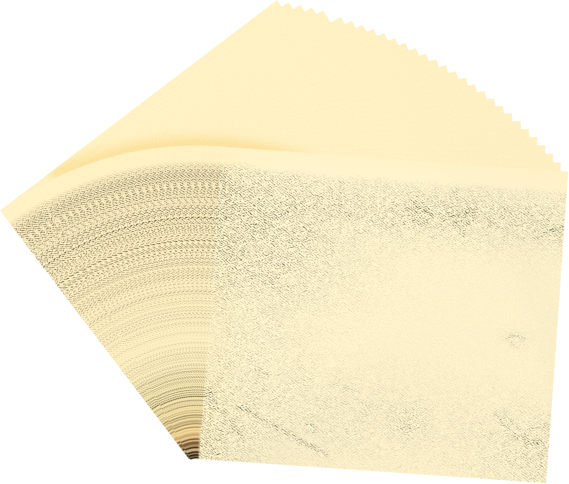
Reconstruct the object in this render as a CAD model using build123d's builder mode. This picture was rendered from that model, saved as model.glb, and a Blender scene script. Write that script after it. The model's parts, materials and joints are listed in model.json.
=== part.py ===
"""A fanned stack of gold leaf: thirty thin metal leaves, each lying on its own backing tissue.

Millimetres and degrees. The fan lies flat on its lowest tissue with the metal faces up. The origin is the
middle of the fan's bounding rectangle, on the surface that it lies on, with +X along the rectangle's long
side and +Z up. Sheets are numbered from the top of the stack, so sheet 1 is the whole square that shows
and the last sheet is the one that the rest lie on. Angles turn anticlockwise, seen from above.
"""

import os

from build123d import *

# One sheet. The leaf and its tissue are cut in one stroke, so they share one outline.
sheet_width = 89.0
sheet_height = 80.0
leaf_thickness = 0.01
tissue_thickness = 0.04

# Crinkles in the metal hold each sheet this far off the one below.
air_gap = 0.03

# The sheets turn about one point, just outside their lower left corner.
pivot_to_left_edge = 0.31
pivot_to_lower_edge = 3.87

# The first sweep of the hand fanned the upper sheets out evenly.
top_angle = -4.05
upper_step_angle = 1.39
upper_sweep_count = 25

# A second sweep fanned the lower ones, and slid them a little way out along their diagonal.
sweep_gap_angle = 2.25
lower_step_angle = 1.42
lower_sweep_count = 5
lower_sweep_slide = 0.4


def sheet_places():
    """The angle of each sheet's lower edge and how far the sheet slid out, from the top sheet down."""
    upper_angles = [top_angle + upper_step_angle * i for i in range(upper_sweep_count)]
    lower_start = upper_angles[-1] + sweep_gap_angle
    lower_angles = [lower_start + lower_step_angle * i for i in range(lower_sweep_count)]
    upper = [(angle, 0.0) for angle in upper_angles]
    lower = [(angle, lower_sweep_slide) for angle in lower_angles]
    return upper + lower


def plane_about_pivot(angle, slide):
    """A sheet's lower left corner, seen from the point that the fan turns about, with X along its lower edge."""
    along = Vector(1, 0).rotate(Axis.Z, angle)
    across = Vector(0, 1).rotate(Axis.Z, angle)
    diagonal = (along * sheet_width + across * sheet_height).normalized()
    corner = along * pivot_to_left_edge + across * pivot_to_lower_edge + diagonal * slide
    return Plane(corner, x_dir=along, z_dir=(0, 0, 1))


def sheet_corners(plane):
    """The four corners of a sheet whose lower left corner and lower edge the plane gives."""
    return [
        plane.from_local_coords(Vector(x, y))
        for x in (0, sheet_width)
        for y in (0, sheet_height)
    ]


def middle(values):
    """Halfway between the least and the greatest of the values."""
    return (min(values) + max(values)) / 2


places = [plane_about_pivot(angle, slide) for angle, slide in sheet_places()]
sheet_count = len(places)
sheet_pitch = tissue_thickness + leaf_thickness + air_gap

# The pivot stands where the bounding rectangle of all the sheets comes out centred on the origin.
corners = [corner for plane in places for corner in sheet_corners(plane)]
pivot = Vector(-middle([c.X for c in corners]), -middle([c.Y for c in corners]))
print(f"{sheet_count} sheets turn about x {pivot.X:.3f}, y {pivot.Y:.3f}")


def sheet_underside(number):
    """The plane that a sheet's tissue stands on, at its height in the stack."""
    height = (sheet_count - number) * sheet_pitch
    return Plane(
        places[number - 1].origin + pivot + Vector(0, 0, height),
        x_dir=places[number - 1].x_dir,
        z_dir=(0, 0, 1),
    )


def make_layer(label, plane, thickness):
    """One layer of a sheet, cut to the shared outline and laid on the plane."""
    with BuildPart() as layer:
        with BuildSketch(plane):
            Rectangle(sheet_width, sheet_height, align=Align.MIN)
        extrude(amount=thickness)
    layer.part.label = label
    export_step(layer.part, f"parts/{label}.step")


os.makedirs("parts", exist_ok=True)

# Each tissue carries its leaf, face to face.
for number in range(1, sheet_count + 1):
    underside = sheet_underside(number)
    make_layer(f"tissue_{number:02d}", underside, tissue_thickness)
    make_layer(f"leaf_{number:02d}", underside.offset(tissue_thickness), leaf_thickness)
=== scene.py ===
"""Dresses the fanned stack of gold leaf: crinkled metal leaves, each draped on its backing tissue.

Lengths are in millimetres until a mesh or a lamp takes them in metres. A place on a sheet is (u, v): u runs
along the lower edge from the corner that the stack is held by, and v up the left edge.
"""

import json
import math

import bpy
import numpy as np
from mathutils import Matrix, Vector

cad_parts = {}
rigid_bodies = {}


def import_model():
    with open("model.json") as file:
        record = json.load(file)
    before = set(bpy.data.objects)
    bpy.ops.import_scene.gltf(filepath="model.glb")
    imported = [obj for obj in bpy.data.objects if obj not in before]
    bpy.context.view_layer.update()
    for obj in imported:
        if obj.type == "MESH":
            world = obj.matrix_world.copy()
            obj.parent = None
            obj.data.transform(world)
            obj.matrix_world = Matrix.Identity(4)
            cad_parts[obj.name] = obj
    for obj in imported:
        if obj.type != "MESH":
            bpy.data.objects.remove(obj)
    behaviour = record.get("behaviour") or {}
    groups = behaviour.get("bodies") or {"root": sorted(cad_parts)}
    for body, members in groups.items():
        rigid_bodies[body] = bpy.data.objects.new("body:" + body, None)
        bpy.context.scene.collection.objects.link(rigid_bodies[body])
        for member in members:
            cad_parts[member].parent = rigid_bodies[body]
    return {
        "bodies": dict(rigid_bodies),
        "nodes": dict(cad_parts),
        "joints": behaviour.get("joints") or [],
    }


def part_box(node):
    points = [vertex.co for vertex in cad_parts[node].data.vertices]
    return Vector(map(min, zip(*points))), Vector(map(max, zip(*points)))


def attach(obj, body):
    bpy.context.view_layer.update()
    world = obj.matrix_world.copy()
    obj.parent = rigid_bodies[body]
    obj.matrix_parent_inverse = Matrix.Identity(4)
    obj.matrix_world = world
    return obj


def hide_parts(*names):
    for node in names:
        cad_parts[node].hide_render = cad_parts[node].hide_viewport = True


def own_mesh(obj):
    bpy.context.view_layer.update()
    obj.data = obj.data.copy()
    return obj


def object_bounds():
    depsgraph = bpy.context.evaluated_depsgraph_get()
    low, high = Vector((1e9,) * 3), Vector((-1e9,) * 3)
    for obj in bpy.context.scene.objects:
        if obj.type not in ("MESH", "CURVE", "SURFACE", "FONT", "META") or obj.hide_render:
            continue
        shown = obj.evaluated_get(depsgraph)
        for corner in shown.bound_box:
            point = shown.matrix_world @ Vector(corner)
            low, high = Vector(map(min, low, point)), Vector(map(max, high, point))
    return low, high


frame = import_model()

cad_low, cad_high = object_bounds()

MM = 0.001
GLOBAL_SEED = 7


# The frame: where the sheets turn, and where each one lies.

spread = next(joint for joint in frame["joints"] if joint["name"] == "fan_spread")
pivot = np.array(spread["pos_m"][:2]) / MM
sheet_count = len(frame["bodies"])


def sheet_place(number):
    """A sheet's lower left corner, its directions along u and v, its size and its height in the stack.

    They are read from its tissue's corners. The held corner is the nearest to the pivot and the opposite one
    is the farthest. The other two lie on either side of the line between them, and the one on the right ends
    the lower edge.
    """
    solid = frame["nodes"][f"tissue_{number:02d}"]
    points = np.array([solid.matrix_world @ vertex.co for vertex in solid.data.vertices]) / MM
    flat = points[:, :2]
    distance = np.linalg.norm(flat - pivot, axis=1)
    held = flat[distance.argmin()]
    diagonal = flat[distance.argmax()] - held
    offset = flat - held
    side = diagonal[0] * offset[:, 1] - diagonal[1] * offset[:, 0]
    lower_edge = offset[side.argmin()]
    left_edge = offset[side.argmax()]
    return {
        "corner": held,
        "along": lower_edge / np.linalg.norm(lower_edge),
        "across": left_edge / np.linalg.norm(left_edge),
        "width": np.linalg.norm(lower_edge),
        "height": np.linalg.norm(left_edge),
        "base": points[:, 2].min(),
    }


places = [sheet_place(number) for number in range(1, sheet_count + 1)]
width, height = places[0]["width"], places[0]["height"]
pitch = places[0]["base"] - places[1]["base"]
tissue_low, tissue_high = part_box("tissue_01")
leaf_low, leaf_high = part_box("leaf_01")
tissue_thickness = (tissue_high[2] - tissue_low[2]) / MM
leaf_thickness = (leaf_high[2] - leaf_low[2]) / MM


# Shapes shared by every sheet.

def smoothstep(t):
    """0 below 0, 1 above 1, and 3t^2 - 2t^3 between."""
    t = np.clip(t, 0.0, 1.0)
    return t * t * (3.0 - 2.0 * t)


def fading(x, start, reach):
    """1 up to the start, 0 from one reach beyond it, and by the smoothstep between."""
    return 1.0 - smoothstep((x - start) / reach)


def bell(distance):
    """1 at nothing and falling off as exp(-d^2)."""
    return np.exp(-(distance**2))


def lattice_noise(x, y, seed):
    """Gradient noise between about -0.7 and 0.7, with one lattice cell to each unit of x and y.

    Each lattice point holds a slope in a random direction. A point between takes the planes of the four
    nearest slopes, blended by 6t^5 - 15t^4 + 10t^3 in x and in y.
    """
    table = 256
    turn = np.random.default_rng(GLOBAL_SEED + seed).uniform(0.0, 2.0 * np.pi, (table, table))
    column, row = np.floor(x).astype(int), np.floor(y).astype(int)
    fx, fy = x - column, y - row

    def plane(dx, dy):
        """The plane of the lattice point at (dx, dy) from the cell's lower left one."""
        angle = turn[(row + dy) % table, (column + dx) % table]
        return np.cos(angle) * (fx - dx) + np.sin(angle) * (fy - dy)

    ex = fx**3 * (fx * (fx * 6.0 - 15.0) + 10.0)
    ey = fy**3 * (fy * (fy * 6.0 - 15.0) + 10.0)
    lower = plane(0, 0) * (1 - ex) + plane(1, 0) * ex
    upper = plane(0, 1) * (1 - ex) + plane(1, 1) * ex
    return lower * (1 - ey) + upper * ey


def waver(u, v, swing, cell_u, cell_v, seed):
    """Noise over the sheet, this strong and in cells of this size."""
    return swing * lattice_noise(u / cell_u, v / cell_v, seed)


def strokes(u, v, angle, length, breadth, seed):
    """Noise drawn out into short strokes: its cells are this long and broad and turned by the angle."""
    c, s = math.cos(math.radians(angle)), math.sin(math.radians(angle))
    return lattice_noise((u * c + v * s) / length, (v * c - u * s) / breadth, seed)


# Where the metal is crinkled, in millimetres on the sheet: (u, v, reach in u, reach in v, amount).
crinkle_patches = [
    (3.0, 63.0, 22.0, 14.0, 0.80),
    (60.0, 67.0, 60.0, 8.0, 0.72),
    (14.0, 50.0, 26.0, 11.0, 0.50),
    (6.0, 28.0, 20.0, 18.0, 0.38),
    (0.0, 0.0, 12.0, 12.0, 0.70),
    (35.0, 13.0, 45.0, 13.0, 0.34),
    (88.0, 5.0, 16.0, 12.0, 0.55),
    (53.0, 12.5, 4.5, 3.5, 0.40),
    (78.4, 36.5, 4.5, 2.2, 0.26),
    (52.3, 66.0, 4.0, 3.0, 0.25),
    (62.5, 66.0, 4.0, 4.5, 0.22),
    (85.9, 64.5, 4.0, 2.0, 0.25),
]
# Bands of closer or calmer crinkles along the left edge: (v, reach in v, amount).
left_edge_bands = [
    (15.0, 3.5, 0.40),
    (31.0, 1.3, -0.30),
    (55.5, 1.2, 0.25),
    (62.5, 2.0, 0.30),
    (69.0, 5.0, 0.60),
]
left_edge_reach = 4.0
least_crinkle = 0.07
most_crinkle = 1.5
# The smooth band along the upper edge: how wide it is by the left edge, how much wider it gets over the
# widening reach, and the fade between it and the crinkles.
smooth_band = 3.3
smooth_band_widens = 0.9
widening_reach = 20.0
smooth_band_fade = 2.4

# Noises over the sheet: (swing, size of a cell in u and in v, seed).
broad_unevenness = (0.35, 7.0, 5.0, 11)
fine_unevenness = (0.2, 2.6, 2.2, 12)
smooth_band_sway = (1.2, 4.0, 30.0, 13)
ripple_sway_u = (0.5, 2.4, 2.4, 21)
ripple_sway_v = (0.5, 2.4, 2.4, 22)
ripple_patches = (1.6, 5.5, 5.5, 25)
fold_sway = (0.35, 1.6, 1.6, 31)
fold_breaks = (1.5, 1.1, 1.1, 32)


def crinkled(u, v):
    """How crinkled the metal is, from nothing to most_crinkle.

    It is a least amount plus the bell curves of the patches and bands, made uneven by noise, and none in the
    smooth band along the upper edge.
    """
    total = np.full_like(u, least_crinkle)
    for patch_u, patch_v, reach_u, reach_v, amount in crinkle_patches:
        total += amount * bell(np.hypot((u - patch_u) / reach_u, (v - patch_v) / reach_v))
    for band_v, reach_v, amount in left_edge_bands:
        total += amount * bell(u / left_edge_reach) * bell((v - band_v) / reach_v)
    total *= 1.0 + waver(u, v, *broad_unevenness) + waver(u, v, *fine_unevenness)
    widening = smooth_band_widens * smoothstep(u / widening_reach)
    band_foot = height - smooth_band - widening + waver(u, v, *smooth_band_sway)
    return np.clip(total, 0.0, most_crinkle) * smoothstep((band_foot - v) / smooth_band_fade)


# Single folds in the top leaf: the places that each one runs through, its half width and its amount.
folds = [
    ([(9.2, 13.9), (11.3, 13.8), (14.8, 11.3), (20.9, 8.9), (26.7, 5.9), (32.3, 3.5)], 0.30, 0.75),
    ([(13.1, 24.0), (16.0, 22.6)], 0.25, 0.80),
    ([(1.0, 17.0), (4.5, 13.0), (11.0, 6.0)], 0.35, 0.50),
    ([(27.5, 11.0), (28.7, 10.2), (29.0, 8.8)], 0.25, 0.70),
    ([(33.3, 21.5), (38.8, 20.1)], 0.25, 0.40),
    ([(39.5, 17.4), (45.2, 16.5)], 0.25, 0.45),
    ([(75.0, 16.6), (80.5, 11.2)], 0.30, 0.65),
    ([(77.0, 17.2), (82.4, 12.0)], 0.25, 0.50),
    ([(82.6, 10.6), (84.5, 9.7), (87.0, 10.6)], 0.25, 0.85),
    ([(83.9, 13.3), (86.4, 14.6), (88.8, 14.8)], 0.25, 0.60),
    ([(49.6, 69.4), (52.3, 67.6), (54.4, 66.9)], 0.28, 0.85),
    ([(50.6, 64.9), (52.3, 64.2), (53.8, 64.6)], 0.25, 0.85),
    ([(59.8, 66.6), (62.4, 67.1), (65.5, 68.6)], 0.25, 0.80),
    ([(61.0, 64.5), (63.6, 62.0)], 0.25, 0.70),
    ([(60.4, 72.4), (61.2, 70.4)], 0.25, 0.60),
    ([(82.8, 63.0), (86.6, 64.8), (88.6, 65.2)], 0.25, 0.60),
    ([(76.2, 36.2), (78.0, 37.4), (80.6, 36.6)], 0.22, 0.55),
    ([(77.4, 35.2), (79.0, 34.4)], 0.20, 0.45),
]
# Noise about this share breaks the folds into strokes.
fold_kept = 0.75
# Along a fold the crinkles crowd: this share of its amount, over this many of its half widths.
gathered_share = 0.9
gathered_reach = 2.4


def distance_to_run(u, v, run):
    """The distance to the nearest of a run's straight pieces: that to its line, with its ends as limits."""
    nearest = np.full_like(u, np.inf)
    for (u0, v0), (u1, v1) in zip(run, run[1:]):
        along_u, along_v = u1 - u0, v1 - v0
        share = ((u - u0) * along_u + (v - v0) * along_v) / (along_u**2 + along_v**2)
        share = np.clip(share, 0.0, 1.0)
        nearest = np.minimum(nearest, np.hypot(u - u0 - share * along_u, v - v0 - share * along_v))
    return nearest


def folded(u, v):
    """How strongly a place is folded, at most by the fold's amount.

    It is a bell curve of the distance to the fold's line, which sways a little. Noise breaks it into strokes.
    """
    total = np.zeros_like(u)
    sway = waver(u, v, *fold_sway)
    for run, half_width, amount in folds:
        total = np.maximum(total, amount * bell((distance_to_run(u, v, run) + sway) / half_width))
    return total * np.clip(fold_kept + waver(u, v, *fold_breaks), 0.0, 1.0)


def gathered(u, v):
    """How much the crinkles crowd along the folds: the folds again, broader and unbroken."""
    total = np.zeros_like(u)
    for run, half_width, amount in folds:
        nearness = bell(distance_to_run(u, v, run) / (gathered_reach * half_width))
        total = np.maximum(total, gathered_share * amount * nearness)
    return total


# The two sets of ripples: (angle, length and breadth of a cell, seed). Their wave is the middle plus the
# swing times their noise.
falling_ripples = (-38.0, 2.4, 1.0, 23)
rising_ripples = (34.0, 2.2, 1.0, 24)
ripple_middle = 0.5
ripple_swing = 0.8


def ripple(u, v):
    """The leaf's ripples, 0 to 1 high: wavy strokes that fall and strokes that rise, each in its patches."""
    wavy_u = u + waver(u, v, *ripple_sway_u)
    wavy_v = v + waver(u, v, *ripple_sway_v)
    falling = strokes(wavy_u, wavy_v, *falling_ripples)
    rising = strokes(wavy_u, wavy_v, *rising_ripples)
    share = smoothstep(ripple_middle + waver(u, v, *ripple_patches))
    wave = ripple_middle + ripple_swing * (falling * share + rising * (1.0 - share))
    return np.clip(wave * crinkled(u, v), 0.0, 1.0)


# How far beyond a lower sheet's edge the sheets above it come down.
bridge = 14.0


def underside(number, x, y):
    """The height of a sheet's underside at x, y: one pitch for each lower sheet that lies there.

    A lower sheet counts in full inside its outline, and outside it by a smooth step that falls to nothing
    over the bridge, because the sheets above span its edge before they come down.
    """
    total = np.zeros_like(x)
    for place in places[number:]:
        dx, dy = x - place["corner"][0], y - place["corner"][1]
        u = dx * place["along"][0] + dy * place["along"][1]
        v = dx * place["across"][0] + dy * place["across"][1]
        inside = np.minimum(np.minimum(u, width - u), np.minimum(v, height - v))
        total += pitch * smoothstep((inside + bridge) / bridge)
    return total


def on_sheet(number, u, v):
    """The x and y of the places u, v on a sheet."""
    place = places[number - 1]
    x = place["corner"][0] + u * place["along"][0] + v * place["across"][0]
    y = place["corner"][1] + u * place["along"][1] + v * place["across"][1]
    return x, y


# Meshes. A sheet hangs on lines that are closer together by the held corner, where it bends most.

near_reach = 16.0
near_cells = 16
far_cells_u = 26
far_cells_v = 23


def hanging_lines(length, far_cells):
    """The places of the lines along one edge: short cells as far as near_reach, and longer ones beyond."""
    near = np.linspace(0.0, near_reach, near_cells + 1)
    far = np.linspace(near_reach, length, far_cells + 1)
    return np.concatenate([near, far[1:]])


hang_u = hanging_lines(width, far_cells_u)
hang_v = hanging_lines(height, far_cells_v)

# The fan leaves a strip of each inner leaf bare along its left edge. There each short hanging cell is cut
# into the near steps, and each longer one up the edge into the far steps.
strip_reach = 4.0
near_steps = 2
far_steps = 6
top_leaf_columns = 222
top_leaf_rows = 200


def divided(lines, counts):
    """The lines of a finer grid: the space after each line is cut into as many equal steps as its count."""
    pieces = [np.linspace(a, b, n, endpoint=False) for a, b, n in zip(lines, lines[1:], counts)]
    return np.append(np.concatenate(pieces), lines[-1])


def hang(number, u_lines, v_lines):
    """A sheet's underside on a grid: worked out on the hanging lines and interpolated between them.

    So a sheet's two layers have the same facets and never cut through each other.
    """
    hu, hv = np.meshgrid(hang_u, hang_v)
    coarse = underside(number, *on_sheet(number, hu, hv))
    along = np.array([np.interp(u_lines, hang_u, row) for row in coarse])
    return np.array([np.interp(v_lines, hang_v, column) for column in along.T]).T


# The length that one unit of the UV map stands for.
uv_span = 100.0


def layer_surface(name, number, u_lines, v_lines, z, thickness):
    """A layer of a sheet: a grid of points at the heights z, given its thickness upward by Solidify.

    Its border edges are sharp, so that the cut edge stays crisp, and its UV map holds u and v over uv_span.
    """
    u, v = np.meshgrid(u_lines, v_lines)
    x, y = on_sheet(number, u, v)
    points = np.stack([x, y, z], -1).reshape(-1, 3) * MM
    columns = len(u_lines)
    corner = np.arange(len(v_lines) - 1)[:, None] * columns + np.arange(columns - 1)[None, :]
    quads = np.stack([corner, corner + 1, corner + columns + 1, corner + columns], -1).reshape(-1, 4)
    mesh = bpy.data.meshes.new(name)
    mesh.from_pydata(points, [], quads)
    mesh.shade_smooth()
    rim = np.zeros(u.shape, bool)
    rim[[0, -1], :] = True
    rim[:, [0, -1]] = True
    ends = np.empty(len(mesh.edges) * 2, np.int32)
    mesh.edges.foreach_get("vertices", ends)
    mesh.edges.foreach_set("use_edge_sharp", rim.ravel()[ends.reshape(-1, 2)].all(1))
    uv = mesh.uv_layers.new(name="sheet")
    uv.data.foreach_set("uv", (np.stack([u.ravel(), v.ravel()], -1)[quads.ravel()] / uv_span).ravel())
    layer = bpy.data.objects.new(name, mesh)
    bpy.context.scene.collection.objects.link(layer)
    wall = layer.modifiers.new("thickness", "SOLIDIFY")
    wall.thickness = thickness * MM
    wall.offset = 1.0
    return layer


def add_attribute(piece, name, values):
    """Stores one number for each vertex of the piece, for its material to read."""
    attribute = piece.data.attributes.new(name, "FLOAT", "POINT")
    numbers = np.broadcast_to(values, len(piece.data.vertices))
    attribute.data.foreach_set("value", numbers.astype(np.float32))


# Materials. A spot is a node's place on the grid of its tree.

node_grid = 200
# The sockets of a Mix node by number, because its numbers and its colours go by the same names.
MIX_SHARE = 0
MIX_NUMBER_A, MIX_NUMBER_B, MIX_NUMBER_RESULT = 2, 3, 0
MIX_COLOUR_A, MIX_COLOUR_B, MIX_COLOUR_RESULT = 6, 7, 2


def node(tree, kind, spot, **settings):
    """Adds a node at a spot and sets its properties and unlinked inputs."""
    made = tree.nodes.new(kind)
    made.location = (spot[0] * node_grid, spot[1] * node_grid)
    for key, value in settings.items():
        if key in made.inputs:
            made.inputs[key].default_value = value
        else:
            setattr(made, key, value)
    return made


def put(tree, socket, value):
    """Links a socket to another, or sets it to a plain value."""
    if isinstance(value, bpy.types.NodeSocket):
        tree.links.new(value, socket)
    else:
        socket.default_value = value


def mixed(tree, spot, share, first, second, blend="MIX"):
    """The colour between two colours, at a share of the way, or with the second blended onto the first."""
    made = node(tree, "ShaderNodeMix", spot, data_type="RGBA", blend_type=blend)
    put(tree, made.inputs[MIX_SHARE], share)
    put(tree, made.inputs[MIX_COLOUR_A], first)
    put(tree, made.inputs[MIX_COLOUR_B], second)
    return made.outputs[MIX_COLOUR_RESULT]


def maths(tree, spot, operation, *values, clamp=False):
    """What one operation makes of one to three values."""
    made = node(tree, "ShaderNodeMath", spot, operation=operation, use_clamp=clamp)
    for socket, value in zip(made.inputs, values):
        put(tree, socket, value)
    return made.outputs[0]


def ranged(tree, spot, value, low, high, first=0.0, last=1.0, curve="SMOOTHSTEP"):
    """A value's way from low to high, as a number from first to last."""
    made = node(tree, "ShaderNodeMapRange", spot, interpolation_type=curve)
    put(tree, made.inputs["Value"], value)
    put(tree, made.inputs["From Min"], low)
    put(tree, made.inputs["From Max"], high)
    put(tree, made.inputs["To Min"], first)
    put(tree, made.inputs["To Max"], last)
    return made.outputs["Result"]


def vertex_number(tree, spot, name):
    """A vertex attribute's value."""
    return node(tree, "ShaderNodeAttribute", spot, attribute_name=name).outputs["Fac"]


def sheet_millimetres(tree, spot):
    """The place on the sheet in millimetres, from its UV map."""
    uv = node(tree, "ShaderNodeUVMap", spot, uv_map="sheet")
    scale = node(tree, "ShaderNodeVectorMath", (spot[0] + 1, spot[1]), operation="SCALE", Scale=uv_span)
    tree.links.new(uv.outputs[0], scale.inputs[0])
    return scale.outputs[0]


def srgb(red, green, blue):
    """A colour given as 0 to 255 on screen, in the linear light that the sockets take.

    A share c of full brightness is c / 12.92 up to 0.04045, and ((c + 0.055) / 1.055)^2.4 above it.
    """
    shares = [channel / 255.0 for channel in (red, green, blue)]
    return (*[c / 12.92 if c <= 0.04045 else ((c + 0.055) / 1.055) ** 2.4 for c in shares], 1.0)


def grey(level):
    """A grey of this level in linear light."""
    return (level, level, level, 1.0)


def new_material(name):
    """An empty node material with its output and its Principled shader."""
    material = bpy.data.materials.new(name)
    material.use_nodes = True
    tree = material.node_tree
    tree.nodes.clear()
    output = node(tree, "ShaderNodeOutputMaterial", (12, 0))
    shader = node(tree, "ShaderNodeBsdfPrincipled", (10, 0))
    tree.links.new(shader.outputs["BSDF"], output.inputs["Surface"])
    return material, tree, shader


# Crinkles in the metal: ridges this far apart, broken off into strokes by cells this long and broad.
stroke_pitch = 0.53
stroke_length = 0.42
stroke_breadth = 0.33
falling_angle = -35.0
rising_angle = 27.0
falling_shift = 31.7
rising_shift = 58.9
# A ridge is broken off where its noise is under the first and whole where it is over the second.
broken_noise, whole_noise = 0.37, 0.50
# The ridges fall where the noise of the patches is under the first and rise where it is over the second.
falling_noise, rising_noise = 0.53, 0.63
# How far noise bends a ridge, in millimetres, and puts it out of step, in radians.
bend_reach = 0.4
step_swing = 2.8
step_cells_per_mm = 1.5
# The other noises: cells to a millimetre, and the shift that sets each one apart.
bend_noise = (0.7, (17.3, 9.1))
patch_noise = (0.9, (71.2, 40.6))
uneven_noise = (0.5, (23.4, 65.8))
noise_middle = 0.5
# The crinkles' strength is the least one plus the gain times the noise that makes them uneven.
least_strength = 0.62
uneven_gain = 0.8
# Creases and glints, where shade and highlights are painted: the height of the wave that they start from,
# and how steeply they come in.
crease_threshold = 0.32
crease_contrast = 2.5
glint_threshold = 0.05
glint_contrast = 1.6
# Beyond this amount of crinkles the creases grow broader too.
dense_amount = 1.0
dense_crease_gain = 0.7


def crinkle_group():
    """Crinkles in beaten metal, as masks for painted shade and glints, and a height.

    Ridges run in two directions, one falling to the right and one rising, and trade places in patches. A set
    of ridges is a sine across its direction, put a little out of step by noise and broken off into short
    strokes. The creases, where shade is painted, are its valleys and the glints, painted highlights, its
    crests, both times the amount and uneven over the sheet.
    """
    group = bpy.data.node_groups.new("metal_crinkle", "ShaderNodeTree")
    face = group.interface
    face.new_socket("Place", in_out="INPUT", socket_type="NodeSocketVector")
    face.new_socket("Amount", in_out="INPUT", socket_type="NodeSocketFloat")
    for name in ("Crease", "Glint", "Height"):
        face.new_socket(name, in_out="OUTPUT", socket_type="NodeSocketFloat")
    start = node(group, "NodeGroupInput", (0, 0))
    place, amount = start.outputs["Place"], start.outputs["Amount"]

    def noise(spot, where, scale, shift):
        """Smooth noise about 0.5 with this many cells to a millimetre, moved by the shift."""
        moved = node(group, "ShaderNodeVectorMath", spot, operation="ADD")
        put(group, moved.inputs[0], where)
        moved.inputs[1].default_value = (*shift, 0.0)
        spot = (spot[0] + 1, spot[1])
        made = node(group, "ShaderNodeTexNoise", spot, noise_dimensions="2D", Scale=scale, Detail=0.0)
        put(group, made.inputs["Vector"], moved.outputs[0])
        return made

    bend = noise((1, 2), place, *bend_noise)
    centred = node(group, "ShaderNodeVectorMath", (3, 2), operation="SUBTRACT")
    put(group, centred.inputs[0], bend.outputs["Color"])
    centred.inputs[1].default_value = (noise_middle, noise_middle, noise_middle)
    bent = node(group, "ShaderNodeVectorMath", (4, 2), operation="MULTIPLY_ADD")
    put(group, bent.inputs[0], centred.outputs[0])
    bent.inputs[1].default_value = (bend_reach, bend_reach, 0.0)
    put(group, bent.inputs[2], place)

    def ridges(spot, angle, shift):
        """A wave across the angle, -1 to 1, and how much of it is kept."""
        x, y = spot
        turned = node(group, "ShaderNodeMapping", spot, vector_type="TEXTURE")
        put(group, turned.inputs["Vector"], bent.outputs[0])
        turned.inputs["Rotation"].default_value = (0.0, 0.0, math.radians(angle))
        across = node(group, "ShaderNodeSeparateXYZ", (x + 1, y))
        put(group, across.inputs[0], turned.outputs[0])
        step = noise((x + 1, y + 1), place, step_cells_per_mm, (shift, shift)).outputs["Fac"]
        phase = maths(group, (x + 2, y), "MULTIPLY", across.outputs["Y"], 2.0 * math.pi / stroke_pitch)
        phase = maths(group, (x + 3, y), "MULTIPLY_ADD", step, step_swing, phase)
        wave = maths(group, (x + 4, y), "SINE", phase)
        cells = node(group, "ShaderNodeVectorMath", (x + 1, y - 1), operation="MULTIPLY")
        put(group, cells.inputs[0], turned.outputs[0])
        cells.inputs[1].default_value = (1.0 / stroke_length, 1.0 / stroke_breadth, 0.0)
        broken = noise((x + 2, y - 1), cells.outputs[0], 1.0, (shift, -shift)).outputs["Fac"]
        return wave, ranged(group, (x + 4, y - 1), broken, broken_noise, whole_noise)

    falling, falling_kept = ridges((5, 8), falling_angle, falling_shift)
    rising, rising_kept = ridges((5, 4), rising_angle, rising_shift)
    patches = noise((5, 0), place, *patch_noise).outputs["Fac"]
    share = ranged(group, (7, 0), patches, falling_noise, rising_noise)

    def chosen(spot, first, second):
        """The falling ridges' value or the rising ones', by patch."""
        made = node(group, "ShaderNodeMix", spot, data_type="FLOAT")
        put(group, made.inputs[MIX_SHARE], share)
        put(group, made.inputs[MIX_NUMBER_A], first)
        put(group, made.inputs[MIX_NUMBER_B], second)
        return made.outputs[MIX_NUMBER_RESULT]

    wave = chosen((10, 2), falling, rising)
    kept = chosen((10, 1), falling_kept, rising_kept)
    uneven = noise((5, -1), place, *uneven_noise).outputs["Fac"]
    varied = maths(group, (7, -1), "MULTIPLY_ADD", uneven, uneven_gain, least_strength)
    strength = maths(group, (9, -1), "MULTIPLY", varied, amount)
    strength = maths(group, (11, 0), "MULTIPLY", kept, strength)
    dense = maths(group, (8, 4), "MAXIMUM", amount, dense_amount)
    least = -dense_amount * dense_crease_gain - crease_threshold * crease_contrast
    broader = maths(group, (9, 4), "MULTIPLY_ADD", dense, dense_crease_gain, least)
    low = maths(group, (11, 3), "MULTIPLY_ADD", wave, -crease_contrast, broader, clamp=True)
    least = -glint_threshold * glint_contrast
    high = maths(group, (11, 2), "MULTIPLY_ADD", wave, glint_contrast, least, clamp=True)
    crease = maths(group, (12, 3), "MULTIPLY", low, strength, clamp=True)
    glint = maths(group, (12, 2), "MULTIPLY", high, strength, clamp=True)
    strong = maths(group, (12, 1), "MULTIPLY", wave, strength)
    end = node(group, "NodeGroupOutput", (17, 0))
    for name, value in (("Crease", crease), ("Glint", glint), ("Height", strong)):
        put(group, end.inputs[name], value)
    return group


# Tones of the metal and the paper, with the painted shade and highlights among them.
top_gold = srgb(253, 241, 203)
inner_gold = srgb(252, 238, 193)
# Painted amber shade where the sheets bunch.
amber_shade_gold = srgb(248, 223, 152)
# Painted shade in the creases and folds.
crease_shade = srgb(62, 49, 12)
# Painted shade in the held corner's rings.
held_crease_shade = srgb(92, 54, 20)
# Painted highlights on the crinkles' crests.
glint_pale = srgb(255, 255, 218)
glint_gold = srgb(255, 246, 205)
thin_paper = srgb(234, 225, 205)
thick_paper = srgb(245, 238, 222)

# The sheets' painted shade where they are held, by the distance from the point that the fan turns about:
# lighter on the crests of their bends and darker in the valleys between them.
crest_shades = [
    (4.0, srgb(72, 50, 36)),
    (5.15, srgb(186, 152, 112)),
    (6.1, srgb(214, 186, 138)),
    (7.4, srgb(190, 154, 108)),
    (8.55, srgb(242, 206, 146)),
    (11.0, srgb(246, 219, 154)),
    (15.0, srgb(246, 225, 166)),
    (22.0, srgb(248, 233, 180)),
]
valley_shades = [
    (4.6, srgb(12, 6, 3)),
    (5.6, srgb(12, 6, 2)),
    (6.8, srgb(44, 26, 12)),
    (7.9, srgb(130, 96, 58)),
    (8.9, srgb(90, 62, 32)),
    (10.1, srgb(204, 174, 116)),
]
# The valleys: the distance from that point, and how far the dark middle and the whole reach to each side.
held_valleys = [
    (4.10, 0.12, 0.25),
    (4.86, 0.15, 0.35),
    (5.60, 0.16, 0.34),
    (6.78, 0.14, 0.37),
    (7.93, 0.30, 0.48),
    (8.93, 0.10, 0.38),
    (10.10, 0.20, 0.50),
]
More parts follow.
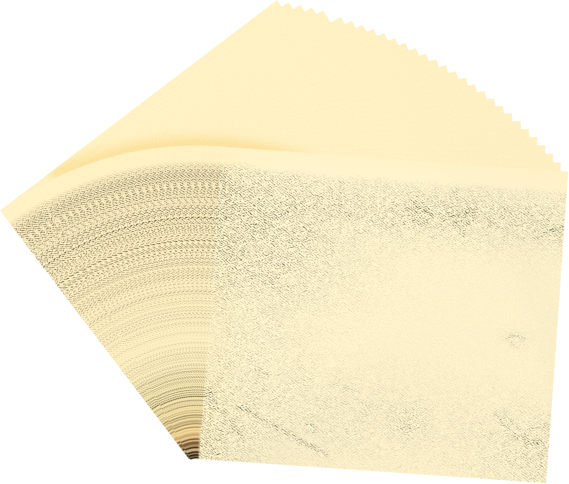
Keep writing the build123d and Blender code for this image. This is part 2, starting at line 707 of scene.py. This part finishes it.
# Rings of painted shade where the held sheets creased: the distance from that point and how dark.
held_creases = [
    (11.93, 0.95),
    (12.85, 0.95),
    (13.50, 0.75),
    (14.50, 0.38),
    (15.05, 0.46),
    (17.48, 0.48),
    (18.10, 0.15),
    (18.70, 0.38),
    (19.72, 0.36),
    (20.30, 0.25),
]
held_crease_half_width = 0.20
# Finer rings of painted shade by noise. They come in from the start to the full distance, and darken as the
# noise falls from its value at their edge to the one in their middle.
fine_rings_per_mm = 1.5
fine_rings_start, fine_rings_in_full = 12.0, 16.0
fine_ring_edge, fine_ring_middle = 0.48, 0.34
fine_ring_darkness = 0.12
# The colour ramps run over this distance, and the painted shade fades out between the two others.
held_reach = 24.0
held_fade_start, held_fade_end = 20.0, 34.0


def ramp(tree, spot, stops, value):
    """A colour ramp with its stops given as position and colour."""
    made = node(tree, "ShaderNodeValToRGB", spot)
    elements = made.color_ramp.elements
    elements.remove(elements[1])
    elements[0].position, elements[0].color = stops[0]
    for position, colour in stops[1:]:
        elements.new(position).color = colour
    put(tree, made.inputs["Fac"], value)
    return made.outputs["Color"]


def held_tone(tree, spot, tones, share):
    """A tone by distance, given as distances in millimetres and colours."""
    return ramp(tree, spot, [(radius / held_reach, colour) for radius, colour in tones], share)


def ring_mask(tree, spot, levels, share):
    """A level between 0 and 1 by distance, given as distances in millimetres and levels."""
    return held_tone(tree, spot, [(radius, grey(level)) for radius, level in levels], share)


def held_shade_colour(tree, place, base):
    """A base colour under the held corner's painted shade and its darker rings, as far as the "held" number
    says.
    """
    first = places[0]
    to_pivot = pivot - first["corner"]
    from_pivot = node(tree, "ShaderNodeVectorMath", (2, 4), operation="DISTANCE")
    put(tree, from_pivot.inputs[0], place)
    pivot_u = float(to_pivot @ first["along"])
    pivot_v = float(to_pivot @ first["across"])
    from_pivot.inputs[1].default_value = (pivot_u, pivot_v, 0.0)
    distance = from_pivot.outputs["Value"]
    share = maths(tree, (3, 4), "DIVIDE", distance, held_reach)
    crest = held_tone(tree, (4, 4), crest_shades, share)
    valley = held_tone(tree, (4, 3), valley_shades, share)
    levels = [
        (radius + side, level)
        for radius, middle, reach in held_valleys
        for side, level in ((-reach, 0.0), (-middle, 1.0), (middle, 1.0), (reach, 0.0))
    ]
    tone = mixed(tree, (5, 3), ring_mask(tree, (4, 2), levels, share), crest, valley)
    levels = [
        (radius + side, level)
        for radius, darkness in held_creases
        for side, level in ((-held_crease_half_width, 0.0), (0.0, darkness), (held_crease_half_width, 0.0))
    ]
    rings = ring_mask(tree, (4, 5), levels, share)
    wander = node(tree, "ShaderNodeTexNoise", (3, 6), noise_dimensions="1D", Scale=fine_rings_per_mm)
    wander.inputs["Detail"].default_value = 0.0
    put(tree, wander.inputs["W"], distance)
    fine = wander.outputs["Fac"]
    fine = ranged(tree, (4, 6), fine, fine_ring_edge, fine_ring_middle, 0.0, fine_ring_darkness)
    present = ranged(tree, (4, 8), distance, fine_rings_start, fine_rings_in_full)
    rings = maths(tree, (5, 7), "MAXIMUM", rings, maths(tree, (5, 8), "MULTIPLY", fine, present))
    near = ranged(tree, (3, 5), distance, held_fade_start, held_fade_end, 1.0, 0.0)
    held = maths(tree, (4, 7), "MULTIPLY", vertex_number(tree, (3, 7), "held"), near)
    toned = mixed(tree, (5, 4), held, base, tone)
    dark = maths(tree, (5, 6), "MULTIPLY", held, rings)
    return mixed(tree, (6, 4), dark, toned, held_crease_shade, "MULTIPLY")


# How level a surface lies, from 0 for a wall to 1: the cut edges are under the first, and the broad faces
# over the second.
edge_level, face_level = 0.2, 0.5


def flat_share(tree):
    """1 on a layer's broad faces and 0 on its cut edges, from how steeply the surface stands."""
    upright = node(tree, "ShaderNodeSeparateXYZ", (1, 0))
    tree.links.new(node(tree, "ShaderNodeNewGeometry", (0, 0)).outputs["True Normal"], upright.inputs[0])
    level = maths(tree, (1, 1), "ABSOLUTE", upright.outputs["Z"])
    return ranged(tree, (2, 0), level, edge_level, face_level)


# Finishes: the depth of the bumps, the share of glints in the inner leaves, the paper's fibres, and gloss.
crinkle_bump = 0.012
leaf_roughness = 0.35
inner_glint_share = 0.5
held_glint_share = 0.1
fibre_bump = 0.02
fibres_per_mm = 1.6
fibre_detail = 4.0
fibre_curl = 1.5
thin_noise, thick_noise = 0.35, 0.65
paper_roughness = 0.85
paper_specular = 0.2


def finish_leaf(tree, shader, crinkle, place, base, glint_colour):
    """Lays crinkles over a leaf's base colour: painted olive shade in creases and folds, painted pale glints,
    a bump.
    """
    group = node(tree, "ShaderNodeGroup", (4, 2), node_tree=crinkle)
    put(tree, group.inputs["Place"], place)
    amount = maths(tree, (3, 3), "MULTIPLY", vertex_number(tree, (2, 2), "crinkled"), flat_share(tree))
    put(tree, group.inputs["Amount"], amount)
    fold = vertex_number(tree, (3, 1), "folded")
    # Painted shade in the creases and folds, then painted glints on the crests.
    dark = mixed(tree, (6, 2), group.outputs["Crease"], base, crease_shade, "MULTIPLY")
    dark = mixed(tree, (7, 2), fold, dark, crease_shade, "MULTIPLY")
    lit = mixed(tree, (8, 2), group.outputs["Glint"], dark, glint_colour)
    put(tree, shader.inputs["Base Color"], lit)
    bump = node(tree, "ShaderNodeBump", (8, -1), Distance=crinkle_bump * MM)
    put(tree, bump.inputs["Height"], group.outputs["Height"])
    put(tree, shader.inputs["Normal"], bump.outputs["Normal"])
    shader.inputs["Metallic"].default_value = 1.0
    shader.inputs["Roughness"].default_value = leaf_roughness


def top_leaf_material(crinkle):
    """The top leaf: the palest gold, a little yellower along its left and upper edges."""
    material, tree, shader = new_material("pale_gold_leaf")
    base = mixed(tree, (5, 4), vertex_number(tree, (3, 6), "yellowed"), top_gold, inner_gold)
    finish_leaf(tree, shader, crinkle, sheet_millimetres(tree, (0, 2)), base, glint_pale)
    return material


def inner_leaf_material(crinkle):
    """Leaves under the top one: yellower, painted amber shade where bunched, painted brown shade and rings
    where held.
    """
    material, tree, shader = new_material("inner_gold_leaf")
    place = sheet_millimetres(tree, (0, 2))
    amber_shade = vertex_number(tree, (3, 8), "bunching_shade")
    # Painted shade of the held corner.
    base = held_shade_colour(tree, place, inner_gold)
    held = vertex_number(tree, (5, 7), "held")
    gain = held_glint_share - inner_glint_share
    glint_share = maths(tree, (6, 6), "MULTIPLY_ADD", held, gain, inner_glint_share)
    # Painted amber shade where the leaves bunch.
    base = mixed(tree, (7, 4), amber_shade, base, amber_shade_gold)
    finish_leaf(tree, shader, crinkle, place, base, mixed(tree, (7, 5), glint_share, base, glint_gold))
    return material


def tissue_material():
    """Thin backing paper, with the leaves' painted shade where it is held."""
    material, tree, shader = new_material("backing_tissue")
    place = sheet_millimetres(tree, (0, 2))
    fibres = node(tree, "ShaderNodeTexNoise", (2, 8), noise_dimensions="2D", Scale=fibres_per_mm)
    fibres.inputs["Detail"].default_value = fibre_detail
    fibres.inputs["Distortion"].default_value = fibre_curl
    put(tree, fibres.inputs["Vector"], place)
    thickness = ranged(tree, (3, 9), fibres.outputs["Fac"], thin_noise, thick_noise)
    paper = mixed(tree, (4, 9), thickness, thin_paper, thick_paper)
    put(tree, shader.inputs["Base Color"], held_shade_colour(tree, place, paper))
    shader.inputs["Roughness"].default_value = paper_roughness
    shader.inputs["Specular IOR Level"].default_value = paper_specular
    bump = node(tree, "ShaderNodeBump", (8, -1), Distance=fibre_bump * MM)
    put(tree, bump.inputs["Height"], fibres.outputs["Fac"])
    put(tree, shader.inputs["Normal"], bump.outputs["Normal"])
    return material


# Where the painted shade of the held corner shows. By the held corner the top sheet takes the least share
# of it, and a sheet at the full depth, as a share of the stack, takes it in full. Above the corner every
# sheet takes it in full. Away from the left edge, past the strip, no sheet takes it.
least_held_share = 0.45
fully_held_depth = 0.13
held_corner, held_corner_fade = 6.0, 6.0
held_strip, held_strip_fade = 2.0, 5.0


def held_share(number, u, v):
    """How far a sheet takes the held corner's painted shade: by its depth in the stack there, in full above
    it.
    """
    depth = (number - 1) / (sheet_count - 1)
    by_depth = least_held_share + (1.0 - least_held_share) * smoothstep(depth / fully_held_depth)
    held = 1.0 - (1.0 - by_depth) * fading(v, held_corner, held_corner_fade)
    return held * fading(u, held_strip, held_strip_fade)


def dress(piece, number, node_name, material):
    """Puts a layer on its sheet's body in place of its solid.
    """
    piece.data.materials.append(material)
    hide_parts(node_name)
    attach(piece, f"sheet_{number:02d}")
    if number < sheet_count:
        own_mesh(piece)


# Heights of the ripples and folds in the leaves, and how dark the painted shade along a fold is.
ripple_top = 0.03
ripple_inner = 0.012
fold_height = 0.04
fold_shade = 0.2
# The top leaf is yellower by its left and upper edges: how much, and over what width. By the upper edge it
# starts this far below.
left_yellow, left_yellow_reach = 0.8, 12.0
upper_yellow, upper_yellow_start, upper_yellow_reach = 0.45, 4.5, 4.0
# The inner leaves lie calmer by the held corner, and are a little livelier in one stretch of the left edge.
calmed_share = 0.75
calm_v, calm_v_fade = 6.0, 7.0
calm_u, calm_u_fade = 6.0, 4.0
lively_gain, lively_v, lively_reach = 0.2, 21.0, 9.0
strip_fade = 1.5
# They take a painted amber shade where they bunch along their upper edge, from where each comes out from
# under the sheets above. Those of the lower sweep come out further along.
last_of_upper_sweep = 25
bunched_shade_amount = 0.85
bunched_start, bunched_rise = 2.6, 4.0
bunched_end, bunched_fade = 12.0, 18.0
bunched_depth, bunched_depth_rise = 4.0, 2.0


def turned_by(number):
    """How many degrees a sheet is turned anticlockwise from square."""
    along = places[number - 1]["along"]
    return math.degrees(math.atan2(along[1], along[0]))


def make_top_leaf(material):
    """The top leaf, evenly and finely gridded, with its ripples and folds."""
    u_lines = np.linspace(0.0, width, top_leaf_columns + 1)
    v_lines = np.linspace(0.0, height, top_leaf_rows + 1)
    u, v = np.meshgrid(u_lines, v_lines)
    fold = folded(u, v)
    z = underside(1, *on_sheet(1, u, v)) + tissue_thickness + ripple_top * ripple(u, v) + fold_height * fold
    leaf = layer_surface("crinkled_leaf_01", 1, u_lines, v_lines, z, leaf_thickness)
    add_attribute(leaf, "crinkled", (crinkled(u, v) + gathered(u, v)).ravel())
    # Painted shade along the folds.
    add_attribute(leaf, "folded", (fold_shade * fold).ravel())
    by_left = left_yellow * fading(u, 0.0, left_yellow_reach)
    by_top = upper_yellow * smoothstep((v - height + upper_yellow_start) / upper_yellow_reach)
    add_attribute(leaf, "yellowed", np.maximum(by_left, by_top).ravel())
    dress(leaf, 1, "leaf_01", material)


def make_inner_leaf(number, material):
    """A leaf further down, with ripples only in the bare strip by its left edge, where its grid is finest."""
    u_counts = np.where(hang_u[:-1] < strip_reach, near_steps, 1)
    v_counts = np.where(hang_v[:-1] < near_reach, near_steps, far_steps)
    u_lines = divided(hang_u, u_counts)
    v_lines = divided(hang_v, v_counts)
    u, v = np.meshgrid(u_lines, v_lines)
    bare = fading(u, strip_reach - strip_fade, strip_fade)
    calm = 1.0 - calmed_share * fading(v, calm_v, calm_v_fade) * fading(u, calm_u, calm_u_fade)
    z = hang(number, u_lines, v_lines) + tissue_thickness + ripple_inner * ripple(u, v) * bare * calm
    leaf = layer_surface(f"crinkled_leaf_{number:02d}", number, u_lines, v_lines, z, leaf_thickness)
    lead = max(0.0, turned_by(number) - turned_by(last_of_upper_sweep))
    start = bunched_start + height * math.tan(math.radians(lead))
    bunching_shade = smoothstep((u - start) / bunched_rise) * fading(u, bunched_end, bunched_fade)
    bunching_shade = bunching_shade * smoothstep((v - height + bunched_depth) / bunched_depth_rise)
    lively = 1.0 + lively_gain * bell((v - lively_v) / lively_reach)
    add_attribute(leaf, "crinkled", (crinkled(u, v) * calm * lively).ravel())
    add_attribute(leaf, "folded", 0.0)
    add_attribute(leaf, "held", held_share(number, u, v).ravel())
    add_attribute(leaf, "bunching_shade", (bunched_shade_amount * bunching_shade).ravel())
    dress(leaf, number, f"leaf_{number:02d}", material)


def make_tissue(number, material):
    """One backing tissue, draped like its leaf. The top one is gridded at every second line of its leaf."""
    if number == 1:
        u_lines = np.linspace(0.0, width, top_leaf_columns // 2 + 1)
        v_lines = np.linspace(0.0, height, top_leaf_rows // 2 + 1)
        z = underside(1, *on_sheet(1, *np.meshgrid(u_lines, v_lines)))
    else:
        u_lines, v_lines = hang_u, hang_v
        z = hang(number, u_lines, v_lines)
    u, v = np.meshgrid(u_lines, v_lines)
    tissue = layer_surface(f"draped_tissue_{number:02d}", number, u_lines, v_lines, z, tissue_thickness)
    add_attribute(tissue, "held", held_share(number, u, v).ravel())
    dress(tissue, number, f"tissue_{number:02d}", material)


crinkle = crinkle_group()
pale_gold_leaf = top_leaf_material(crinkle)
inner_gold_leaf = inner_leaf_material(crinkle)
backing_tissue = tissue_material()
for number in range(1, sheet_count + 1):
    make_tissue(number, backing_tissue)
make_top_leaf(pale_gold_leaf)
for number in range(2, sheet_count + 1):
    make_inner_leaf(number, inner_gold_leaf)


# The room: a white floor, a pale dome and one soft lamp. Its lengths are in metres.

white = grey(1.0)
floor_half = 1.5
floor_drop = 0.00005
# The floor throws light back with the first grey. The camera sees the second one, with a glow on top.
floor_grey = 0.8
seen_floor_grey = 0.22
seen_floor_glow = 0.85
# Metal and glass see plain white in rays up to the first height, and the dome as it is from the second on.
dome_low, dome_high = 0.15, 0.45
# The dome is brightest toward this direction: it goes from dim to bright with the part of a ray that points
# there.
bright_direction = (-0.42, 0.42, 0.80)
dim_part, bright_part = -0.1, 1.0
dim_strength, bright_strength = 0.82, 1.09


def seen_rays(tree, spot, share=None):
    """1 for rays from the camera, and for those that metal or glass passes on.

    A share makes the rays passed on count only that much.
    """
    x, y = spot
    rays = node(tree, "ShaderNodeLightPath", spot).outputs
    passed = maths(tree, (x + 1, y), "MAXIMUM", rays["Is Glossy Ray"], rays["Is Transmission Ray"])
    if share is not None:
        passed = maths(tree, (x + 2, y), "MULTIPLY", passed, share)
    return maths(tree, (x + 3, y), "MAXIMUM", rays["Is Camera Ray"], passed)


def make_floor():
    """A white floor that shows pure white to the camera and keeps the object's shadow."""
    mesh = bpy.data.meshes.new("floor")
    corners = [(x, y, 0.0) for x, y in ((-1, -1), (1, -1), (1, 1), (-1, 1))]
    mesh.from_pydata(np.array(corners) * floor_half, [], [(0, 1, 2, 3)])
    floor = bpy.data.objects.new("floor", mesh)
    bpy.context.scene.collection.objects.link(floor)
    material = bpy.data.materials.new("white_floor")
    material.use_nodes = True
    tree = material.node_tree
    tree.nodes.clear()
    output = node(tree, "ShaderNodeOutputMaterial", (4, 0))
    mix = node(tree, "ShaderNodeMixShader", (3, 0))
    add = node(tree, "ShaderNodeAddShader", (2, -1))
    plain = node(tree, "ShaderNodeBsdfDiffuse", (0, 0), Color=grey(floor_grey))
    soft = node(tree, "ShaderNodeBsdfDiffuse", (0, -1), Color=grey(seen_floor_grey))
    glow = node(tree, "ShaderNodeEmission", (0, -2), Color=white, Strength=seen_floor_glow)
    tree.links.new(soft.outputs[0], add.inputs[0])
    tree.links.new(glow.outputs[0], add.inputs[1])
    tree.links.new(seen_rays(tree, (0, 2)), mix.inputs[0])
    tree.links.new(plain.outputs[0], mix.inputs[1])
    tree.links.new(add.outputs[0], mix.inputs[2])
    tree.links.new(mix.outputs[0], output.inputs["Surface"])
    mesh.materials.append(material)
    floor.location.z = -floor_drop


def make_world():
    """A dome that is brightest toward the upper left.

    It is plain white all over to the camera, and low down to the rays that metal or glass passes on.
    """
    world = bpy.data.worlds.new("studio")
    world.use_nodes = True
    bpy.context.scene.world = world
    tree = world.node_tree
    tree.nodes.clear()
    output = node(tree, "ShaderNodeOutputWorld", (9, 0))
    place = node(tree, "ShaderNodeTexCoord", (0, 0)).outputs["Generated"]
    split = node(tree, "ShaderNodeSeparateXYZ", (1, 2))
    tree.links.new(place, split.inputs[0])
    low_down = ranged(tree, (2, 2), split.outputs["Z"], dome_low, dome_high, 1.0, 0.0)
    toward = node(tree, "ShaderNodeVectorMath", (1, 0), operation="DOT_PRODUCT")
    tree.links.new(place, toward.inputs[0])
    toward.inputs[1].default_value = bright_direction
    part = toward.outputs["Value"]
    strength = ranged(tree, (2, 0), part, dim_part, bright_part, dim_strength, bright_strength, "LINEAR")
    dome = node(tree, "ShaderNodeBackground", (3, 0), Color=white)
    tree.links.new(strength, dome.inputs["Strength"])
    plain = node(tree, "ShaderNodeBackground", (3, -1), Color=white, Strength=1.0)
    mix = node(tree, "ShaderNodeMixShader", (8, 0))
    tree.links.new(seen_rays(tree, (4, 2), low_down), mix.inputs[0])
    tree.links.new(dome.outputs[0], mix.inputs[1])
    tree.links.new(plain.outputs[0], mix.inputs[2])
    tree.links.new(mix.outputs[0], output.inputs["Surface"])


# The camera: the photograph's size, its scale, and where the point that the fan turns about lies in it.
photo_width_px, photo_height_px = 569, 484
pixels_per_mm = 3.91
pivot_in_photo_px = (196.9, 473.8)
sensor_width_mm = 36.0
lens_mm = 400.0


def make_camera():
    """Straight down on the fan, from far enough away that the view has no perspective to speak of."""
    data = bpy.data.cameras.new("camera")
    data.sensor_width = sensor_width_mm
    data.lens = lens_mm
    camera = bpy.data.objects.new("camera", data)
    bpy.context.scene.collection.objects.link(camera)
    x = pivot[0] - (pivot_in_photo_px[0] - photo_width_px / 2) / pixels_per_mm
    y = pivot[1] + (pivot_in_photo_px[1] - photo_height_px / 2) / pixels_per_mm
    across = photo_width_px / pixels_per_mm
    middle_height = (cad_low[2] + cad_high[2]) / 2
    camera.location = (x * MM, y * MM, middle_height + across * MM * data.lens / data.sensor_width)
    bpy.context.scene.camera = camera


lamp_side = 0.5
lamp_watts = 0.25
lamp_place = (-0.45, 0.45, 0.6)


def make_lamp():
    """One large soft lamp from the upper left."""
    data = bpy.data.lights.new("softbox", "AREA")
    data.shape = "SQUARE"
    data.size = lamp_side
    data.energy = lamp_watts
    lamp = bpy.data.objects.new("softbox", data)
    bpy.context.scene.collection.objects.link(lamp)
    lamp.location = lamp_place
    lamp.rotation_euler = (-lamp.location).to_track_quat("-Z", "Y").to_euler()


make_floor()
make_world()
make_camera()
make_lamp()
bpy.context.scene.view_settings.view_transform = "Standard"
# The crinkles are as fine as a pixel, and a denoiser would take them for noise.
bpy.context.scene.cycles.use_denoising = False
